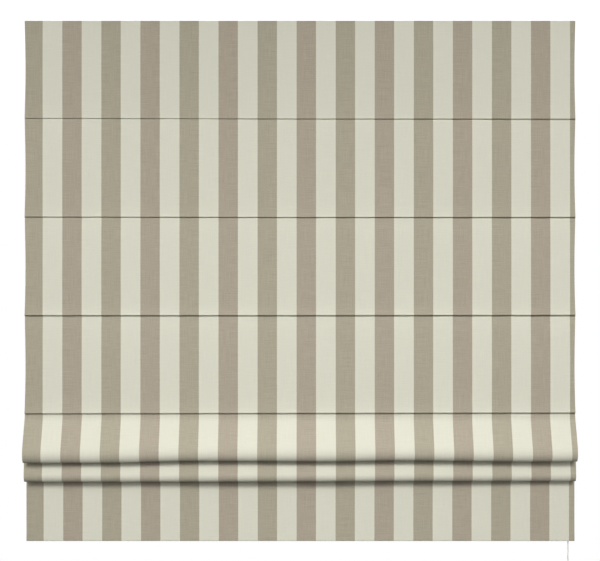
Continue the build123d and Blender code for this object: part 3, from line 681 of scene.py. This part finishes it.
# The bottom hem goes round the weight bar and is sewn to the skirt's back above it
HEM_ROUND = 1.2 * MM
HEM_BACK = -15.3 * MM
HEM_STEP = 3 * MM
HEM_BEND_LOW = HEM_TOP - 1.2 * MM  # where its back bends forward to the skirt
HEM_BEND_RISE = 4.6 * MM
HEM_LAP_Y = SKIRT_Y + 0.9 * MM
HEM_LAP_TOP = HEM_TOP + 10 * MM
hem_centre_z = HEM_BOTTOM + CLOTH / 2 + HEM_ROUND
hem_path = [(SKIRT_Y, HEM_TOP)]
hem_path += straight(hem_path[0], (SKIRT_Y, hem_centre_z), HEM_STEP)
hem_path += arc((SKIRT_Y + HEM_ROUND, hem_centre_z), HEM_ROUND, 180, 270, 6)[1:]
hem_path += arc((HEM_BACK - HEM_ROUND, hem_centre_z), HEM_ROUND, 270, 360, 6)
hem_path += straight(hem_path[-1], (HEM_BACK, HEM_BEND_LOW), HEM_STEP)
for share in np.linspace(0, 1, 9)[1:]:
    ease = share * share * (3 - 2 * share)
    hem_path.append((HEM_BACK - ease * (HEM_BACK - HEM_LAP_Y), HEM_BEND_LOW + HEM_BEND_RISE * share))
hem_path += straight(hem_path[-1], (HEM_LAP_Y, HEM_LAP_TOP), HEM_STEP)
obj, length = cloth("cloth_hem", hem_path, plain_fine, run_start, hem_shape)
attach(obj, "rod_6_unit")

POCKET_MOUTH = 2  # half of the angle that stays open where a pocket is sewn shut
POCKET_TURN = (-97, -443)  # angles where a gathered pocket leaves its neck and meets it again
POCKET_POINTS = 40
for number, (y, z) in enumerate(RODS, 1):
    if number <= FLAT_PANELS:
        tilt = degrees(asin(-SEAM_OFFSETS[number - 1][1] / POCKET_RADIUS))
        first, last = 180 + tilt - POCKET_MOUTH, -180 + tilt + POCKET_MOUTH
        path = arc((y, z), POCKET_RADIUS, first, last, POCKET_POINTS)
    else:
        neck = NECK_NEAR - STACK_PITCH
        half_way = z - neck / 2 - POCKET_RADIUS / 2
        turn = arc((y, z), POCKET_RADIUS, *POCKET_TURN, POCKET_POINTS)
        path = [(y - CLOTH / 2, z - neck), (y - CLOTH / 2, half_way)] + turn
        path += [(y + CLOTH / 2, half_way), (y + CLOTH / 2, z - neck)]
    obj, length = cloth(f"cloth_pocket_{number}", path, plain, run_start)
    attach(obj, f"rod_{number}_unit")


# Thread: side hems, bottom hem and rings

THREAD = 0.22 * MM
THREAD_SIDES = 5
STITCH_PITCH = 12 * MM
STITCH_STAND = (0, 0.5 * MM, 0)  # how far a stitch stands off the cloth
# Both ends of a stitch from the edge that it holds
SIDE_STITCH = np.array([(-1.0, 0.5, 0), (2.2, -0.5, -3)]) * MM
BOTTOM_STITCH = np.array([(-1.5, 0.5, -1.0), (1.5, -0.4, 2.4)]) * MM
BOTTOM_STITCH_INSET = 10 * MM


def tubes(name, lines, radius, look, sides=8, closed=False):
    """Round cords or threads along lines of points, in one object."""
    verts, faces = [], []
    for line in lines:
        line = np.array([tuple(point) for point in line])
        if closed:
            along = np.roll(line, -1, axis=0) - np.roll(line, 1, axis=0)
        else:
            along = np.gradient(line, axis=0)
        along /= np.linalg.norm(along, axis=1)[:, None]
        side = np.cross(along[0], (0, 1, 0) if abs(along[0][1]) < 0.9 else (1, 0, 0))
        first = len(verts)
        for point, way in zip(line, along):
            side = side - way * side.dot(way)
            side = side / np.linalg.norm(side)
            up = np.cross(way, side)
            angles = np.arange(sides) * 2 * pi / sides
            verts += [point + radius * (cos(a) * side + sin(a) * up) for a in angles]
        count = len(line)
        for r in range(count if closed else count - 1):
            here = first + r * sides
            there = first + (r + 1) % count * sides
            for k in range(sides):
                after = (k + 1) % sides
                faces.append((here + k, here + after, there + after, there + k))
        if not closed:
            faces.append([first + k for k in range(sides)][::-1])
            faces.append([first + (count - 1) * sides + k for k in range(sides)])
    return new_object(name, verts, faces, look)


def stitch(start, end, stand):
    """A short thread from start to end that stands off the cloth in between."""
    start, end, stand = np.array(start), np.array(end), np.array(stand)
    return [start + (end - start) * s + stand * sin(pi * s) for s in np.linspace(0, 1, 6)]


def side_stitches(name, grid):
    """Slip stitches along the inner edges of both side hems."""
    lines = []
    for column, way in ((0, 1), (-1, -1)):
        edge = grid[:, column]
        heights = edge[:, 2]
        high, low = heights.max() - STITCH_PITCH / 2, heights.min() + STITCH_PITCH / 3
        for z in np.arange(high, low, -STITCH_PITCH):
            row = np.argmin(np.abs(heights - z))
            start, end = edge[row] + SIDE_STITCH * (way, 1, 1)
            lines.append(stitch(start, end, STITCH_STAND))
    obj = tubes(name, lines, THREAD, THREAD_LOOK, THREAD_SIDES)
    return obj


for number in range(1, FLAT_PANELS + 1):
    for strip in STRIPS:
        obj = side_stitches(f"side_stitches_{number}_{strip}", GRIDS[f"cloth_panel_{number}_{strip}"])
        bind_strip(obj)
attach(side_stitches("side_stitches_skirt", GRIDS["cloth_skirt"]), "rod_6_unit")

hem_edge = GRIDS["cloth_hem"][-1]
lines = []
for x in np.arange(-HALF_WIDTH + BOTTOM_STITCH_INSET, HALF_WIDTH - BOTTOM_STITCH_INSET, STITCH_PITCH):
    start, end = hem_edge[np.argmin(np.abs(hem_edge[:, 0] - x))] + BOTTOM_STITCH
    lines.append(stitch(start, end, STITCH_STAND))
obj = tubes("hem_stitches", lines, THREAD, THREAD_LOOK, THREAD_SIDES)
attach(obj, "rod_6_unit")

# Each ring is sewn to its pocket with four turns of thread
POCKET_OUTER = POCKET_RADIUS + CLOTH / 2
LOOP_REACH = 1.5 * MM
LOOP_HALF = 1.35 * MM
LOOP_POINTS = 14
LOOP_TURNS = (-1.5, -0.5, 0.5, 1.5)
LOOP_PITCH = 0.6 * MM
LOOP_SLANT = 0.15 * MM
for number, ((y, z), ring_y) in enumerate(zip(RODS, RING_CENTRES), 1):
    wire = np.array([ring_y - RING_MIDDLE - y, -RING_DROP])
    out = wire / np.hypot(*wire)
    up = np.array([-out[1], out[0]])
    middle = np.array([y, z]) + out * (POCKET_OUTER + RING_WIRE)
    lines = []
    for column in COLUMNS:
        for turn in LOOP_TURNS:
            loop = []
            for a in np.arange(LOOP_POINTS) * 2 * pi / LOOP_POINTS:
                at = middle + out * LOOP_REACH * cos(a) + up * LOOP_HALF * sin(a)
                loop.append((column + turn * LOOP_PITCH + LOOP_SLANT * sin(a), at[0], at[1]))
            lines.append(loop)
    obj = tubes(f"ring_threads_{number}", lines, THREAD, THREAD_LOOK, THREAD_SIDES, closed=True)
    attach(obj, f"rod_{number}_unit")


# Touch tapes: woven strips with rows of hooks or loops

TAPE_HALF = 669.5 * MM
TAPE_LOW = 29 * MM
TAPE_HIGH = 54 * MM
TAPE_THICK = 0.9 * MM
TAPE_STEP = 2 * MM
TAPE_ROWS = 22
TUFT_ROW = 2.4 * MM
SELVEDGE = 1 * MM
SELVEDGE_WAVE = 0.15 * MM
# Each tape's node, the Y of its middle, and the pitch and height of its tufts
TAPES = (("hook_tape", -30.6 * MM, 2.5 * MM, 0.14 * MM), ("loop_tape", -31.8 * MM, 3.5 * MM, 0.1 * MM))
for name, middle_y, pitch, tuft in TAPES:
    rows = np.linspace(TAPE_HIGH, TAPE_LOW, TAPE_ROWS)
    x, z = np.meshgrid(np.arange(-TAPE_HALF, TAPE_HALF, TAPE_STEP), rows)
    bumps = tuft * np.sin(2 * pi * x / pitch) * np.sin(2 * pi * z / TUFT_ROW)
    at_edge = np.where((z > TAPE_HIGH - SELVEDGE) | (z < TAPE_LOW + SELVEDGE), 1, 0)
    selvedge = SELVEDGE_WAVE * waves(x, 3, 0.021, 0.034) * at_edge
    grid = np.stack([x, middle_y + bumps, z + selvedge], -1)
    verts, faces = shell(grid, np.broadcast_to((0.0, -1.0, 0.0), grid.shape), TAPE_THICK)
    obj = new_object(f"{name}_strip", verts, faces, LOOKS["touch_tape"])
    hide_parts(name)
    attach(obj, "rail_unit")


# Lift cords: taut, so they run straight between the rods, over the rollers and down to the joiner

CORD_RADIUS = 0.7 * MM
CORD_FOOT_Y = -12.6 * MM
CORD_FOOT_Z = -982.3 * MM
RAIL_BOTTOM = 23 * MM
CORD_RUN_Z = 38.05 * MM
NOSE_BOTTOM = 6 * MM
CORD_END = -541.6 * MM
TAIL_SETTLED = -25 * MM  # below this the cords hang behind the gathered cloth
RAIL_MIDDLE = -16 * MM
TURN_LEG = CORD_RUN_Z - RAIL_BOTTOM  # from a turn's corner to its ends
TURN_WEIGHT = 4.4  # keeps a turn out on its roller
TURN_STEPS = 16
RUN_STEPS = 4
NOSE_STEPS = 3
TAIL_STEPS = 24
KNOT_RADIUS = 0.7 * MM
KNOT_HEIGHT = 0.6 * MM
KNOT_LOBES = 0.4
KNOT_POINTS = 30
LIFT_NODES = [f"lift_cord_{i}" for i in range(1, 5)]


def nurbs_curve(name, points, resolution, weight=1.0):
    """A smooth curve led by a route's points, of which those between its ends draw it by weight."""
    curve = bpy.data.curves.new(name, "CURVE")
    curve.dimensions = "3D"
    spline = curve.splines.new("NURBS")
    last = len(points) - 1
    spline.points.add(last)
    for i, (point, target) in enumerate(zip(spline.points, points)):
        point.co = (*target, weight if 0 < i < last else 1)
    spline.order_u = 3
    spline.use_endpoint_u = True
    spline.resolution_u = resolution
    return curve


def route(points, resolution, weight=1.0):
    """Points along the smooth curve that a route's points lead."""
    curve = nurbs_curve("route", points, resolution, weight)
    guide = bpy.data.objects.new("route", curve)
    mesh = bpy.data.meshes.new_from_object(guide)
    found = [tuple(v.co) for v in mesh.vertices]
    bpy.data.meshes.remove(mesh)
    bpy.data.objects.remove(guide)
    bpy.data.curves.remove(curve)
    return found


def between(first, second, resolution):
    """Points along a straight run."""
    middle = tuple((a + b) / 2 for a, b in zip(first, second))
    return route([first, middle, second], resolution)


def cord_piece(name, lines):
    """A stretch of all four lift cords."""
    obj = tubes(name, lines, CORD_RADIUS, CORD_LOOK)
    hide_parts(*LIFT_NODES)
    return obj


def lift_point(cord, z):
    """Where a lift cord hangs at a height."""
    share = (RAIL_BOTTOM - z) / (RAIL_BOTTOM - CORD_FOOT_Z)
    return (COLUMNS[cord], LANES[cord] + share * (CORD_FOOT_Y - LANES[cord]), z)


levels = [RAIL_BOTTOM] + [z - RING_DROP for y, z in RODS]
for number, (high, low) in enumerate(zip(levels, levels[1:]), 1):
    lines = [[lift_point(cord, high), lift_point(cord, low)] for cord in range(len(COLUMNS))]
    obj = cord_piece(f"lift_cords_level_{number}", lines)
    bind_between(obj)

lines = []
for cord in range(len(COLUMNS)):
    foot = lift_point(cord, CORD_FOOT_Z)
    lines.append(between(lift_point(cord, levels[-1]), foot, RUN_STEPS))
    knot = []
    for a in np.linspace(0, 2 * pi, KNOT_POINTS):
        radius = KNOT_RADIUS * (1 + KNOT_LOBES * cos(3 * a))
        knot.append(np.array(foot) + (radius * cos(2 * a), radius * sin(2 * a), KNOT_HEIGHT * sin(3 * a)))
    lines.append(knot)
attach(cord_piece("lift_cord_feet", lines), "rod_6_unit")

lines = []
tails = []
for cord, x in enumerate(COLUMNS):
    y = LANES[cord]
    guide_end = (x + TURN_LEG, y, CORD_RUN_Z)
    lock_start = (PULL_X - TURN_LEG, y, CORD_RUN_Z)
    lock_end = (PULL_X, y, RAIL_BOTTOM)
    nose_end = (PULL_X, y, NOSE_BOTTOM)
    line = route([(x, y, RAIL_BOTTOM), (x, y, CORD_RUN_Z), guide_end], TURN_STEPS, TURN_WEIGHT)
    line += between(guide_end, lock_start, RUN_STEPS)[1:]
    line += route([lock_start, (PULL_X, y, CORD_RUN_Z), lock_end], TURN_STEPS, TURN_WEIGHT)[1:]
    line += between(lock_end, nose_end, NOSE_STEPS)[1:]
    lines.append(line)
    joined = PULL_Y + y - RAIL_MIDDLE
    tails.append(route([nose_end, (PULL_X, joined, TAIL_SETTLED), (PULL_X, joined, CORD_END)], TAIL_STEPS))
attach(cord_piece("lift_cords_in_rail", lines), "rail_unit")
obj = cord_piece("lift_cord_tails", tails)
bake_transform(obj)


# Pull cord: hangs free from the joiner to its knob

PULL_HEIGHTS = (PULL_TOP, -800 * MM, -1100 * MM, PULL_FOOT)
pull_curve = nurbs_curve("pull_cord_braid", [(PULL_X, PULL_Y, z) for z in PULL_HEIGHTS], 8)
pull_curve.bevel_depth = PULL_DIAMETER / 2
pull_curve.bevel_resolution = 3
pull_curve.use_fill_caps = True
pull = dress(bpy.data.objects.new("pull_cord_braid", pull_curve), CORD_LOOK)
bpy.context.scene.collection.objects.link(pull)
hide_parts("pull_cord")
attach(pull, "pull_unit")


# Stage: floor, light and camera

VIEW_DISTANCE = 3.3
VIEW_HEIGHT = -0.6031
VIEW_WIDTH = 1.5273  # of the picture, at the cloth
FLOOR_Z = -1.83  # clear of the blind when it is let down
FLOOR_REACH = 9
FLOOR_SPOT = (1.5, 0.5)  # half sizes, along X and Y, of the part that isn't white
FLOOR_SEEN = (0.85, 0.85, 0.85)
FLOOR_BOUNCE = (0.05, 0.05, 0.05)


def seen_directly(nodes, links):
    """1 for what the camera sees, also in or through other pieces, and 0 for light on other pieces."""
    rays = node(nodes, "LightPath")
    seen = math_node(nodes, links, "MAXIMUM", rays.outputs["Is Camera Ray"], rays.outputs["Is Glossy Ray"])
    return math_node(nodes, links, "MAXIMUM", seen, rays.outputs["Is Transmission Ray"])


floor_mesh = bpy.data.meshes.new("floor")
corners = [(x * FLOOR_REACH, y * FLOOR_REACH, 0) for x, y in ((-1, -1), (1, -1), (1, 1), (-1, 1))]
floor_mesh.from_pydata(corners, [], [(0, 1, 2, 3)])
floor = bpy.data.objects.new("floor", floor_mesh)
floor.location = (0, 0, FLOOR_Z)
bpy.context.scene.collection.objects.link(floor)
material, nodes, links, shader = new_material("pale_floor")
shader.inputs["Roughness"].default_value = 0.9
seen = seen_directly(nodes, links)
links.new(mix_colour(nodes, links, seen, FLOOR_BOUNCE, FLOOR_SEEN), shader.inputs["Base Color"])
parts = node(nodes, "SeparateXYZ")
links.new(node(nodes, "TexCoord").outputs["Object"], parts.inputs[0])
squares = []
for axis, half in zip("XY", FLOOR_SPOT):
    away = math_node(nodes, links, "ABSOLUTE", math_node(nodes, links, "DIVIDE", parts.outputs[axis], half))
    squares.append(math_node(nodes, links, "POWER", away, 2))
far = math_node(nodes, links, "ADD", *squares)
fade = node(nodes, "MapRange", From_Min=0.25, From_Max=1.0)
links.new(far, fade.inputs["Value"])
white = math_node(nodes, links, "MULTIPLY", fade.outputs["Result"], seen)
glow = node(nodes, "Emission")
blend = node(nodes, "MixShader")
links.new(white, blend.inputs["Fac"])
links.new(shader.outputs[0], blend.inputs[1])
links.new(glow.outputs[0], blend.inputs[2])
links.new(blend.outputs[0], nodes["Material Output"].inputs["Surface"])
dress(floor, material)

SKY_LOW = 0.04
SKY_HIGH = 1.1
SKY_TOP = 0.35  # share of that left at the top of the dome
SKY_DAWN = (-0.05, 0.15)  # heights between which it brightens
SKY_DUSK = (0.3, 0.9)  # heights between which it dims again
world = bpy.data.worlds.new("studio")
bpy.context.scene.world = world
world.use_nodes = True
nodes, links = world.node_tree.nodes, world.node_tree.links
seen = seen_directly(nodes, links)
sky = nodes["Background"]
sky.inputs["Color"].default_value = (1, 1, 1, 1)
parts = node(nodes, "SeparateXYZ")
links.new(node(nodes, "TexCoord").outputs["Generated"], parts.inputs[0])
rise = node(nodes, "MapRange", From_Min=SKY_DAWN[0], From_Max=SKY_DAWN[1], To_Min=SKY_LOW, To_Max=SKY_HIGH)
links.new(parts.outputs["Z"], rise.inputs["Value"])
dim = node(nodes, "MapRange", From_Min=SKY_DUSK[0], From_Max=SKY_DUSK[1], To_Min=1.0, To_Max=SKY_TOP)
links.new(parts.outputs["Z"], dim.inputs["Value"])
dome = math_node(nodes, links, "MULTIPLY", rise.outputs["Result"], dim.outputs["Result"])
links.new(math_node(nodes, links, "MAXIMUM", seen, dome), sky.inputs["Strength"])


LAMP_SIZE = 1.4
LAMP_SPREAD = 50


def lamp(name, location, target, power):
    """A square soft light."""
    data = bpy.data.lights.new(name, "AREA")
    data.shape = "SQUARE"
    data.size = LAMP_SIZE
    data.energy = power
    data.spread = radians(LAMP_SPREAD)
    obj = bpy.data.objects.new(name, data)
    obj.location = location
    obj.rotation_euler = (Vector(target) - Vector(location)).to_track_quat("-Z", "Y").to_euler()
    bpy.context.scene.collection.objects.link(obj)


lamp("left_softbox", (-2.2, -3.1, 1.6), (-0.6, 0, -1.0), 7.9)
lamp("right_softbox", (2.1, -3.1, 1.7), (0.6, 0, -1.0), 8.1)

camera = bpy.data.cameras.new("camera")
camera.sensor_fit = "HORIZONTAL"
camera.sensor_width = 36
camera.lens = camera.sensor_width * VIEW_DISTANCE / VIEW_WIDTH
view = bpy.data.objects.new("camera", camera)
view.location = (0, CLOTH_MID - CLOTH / 2 - VIEW_DISTANCE, VIEW_HEIGHT)
view.rotation_euler = (radians(90), 0, 0)
bpy.context.scene.collection.objects.link(view)
bpy.context.scene.camera = view
bpy.context.scene.view_settings.view_transform = "Standard"
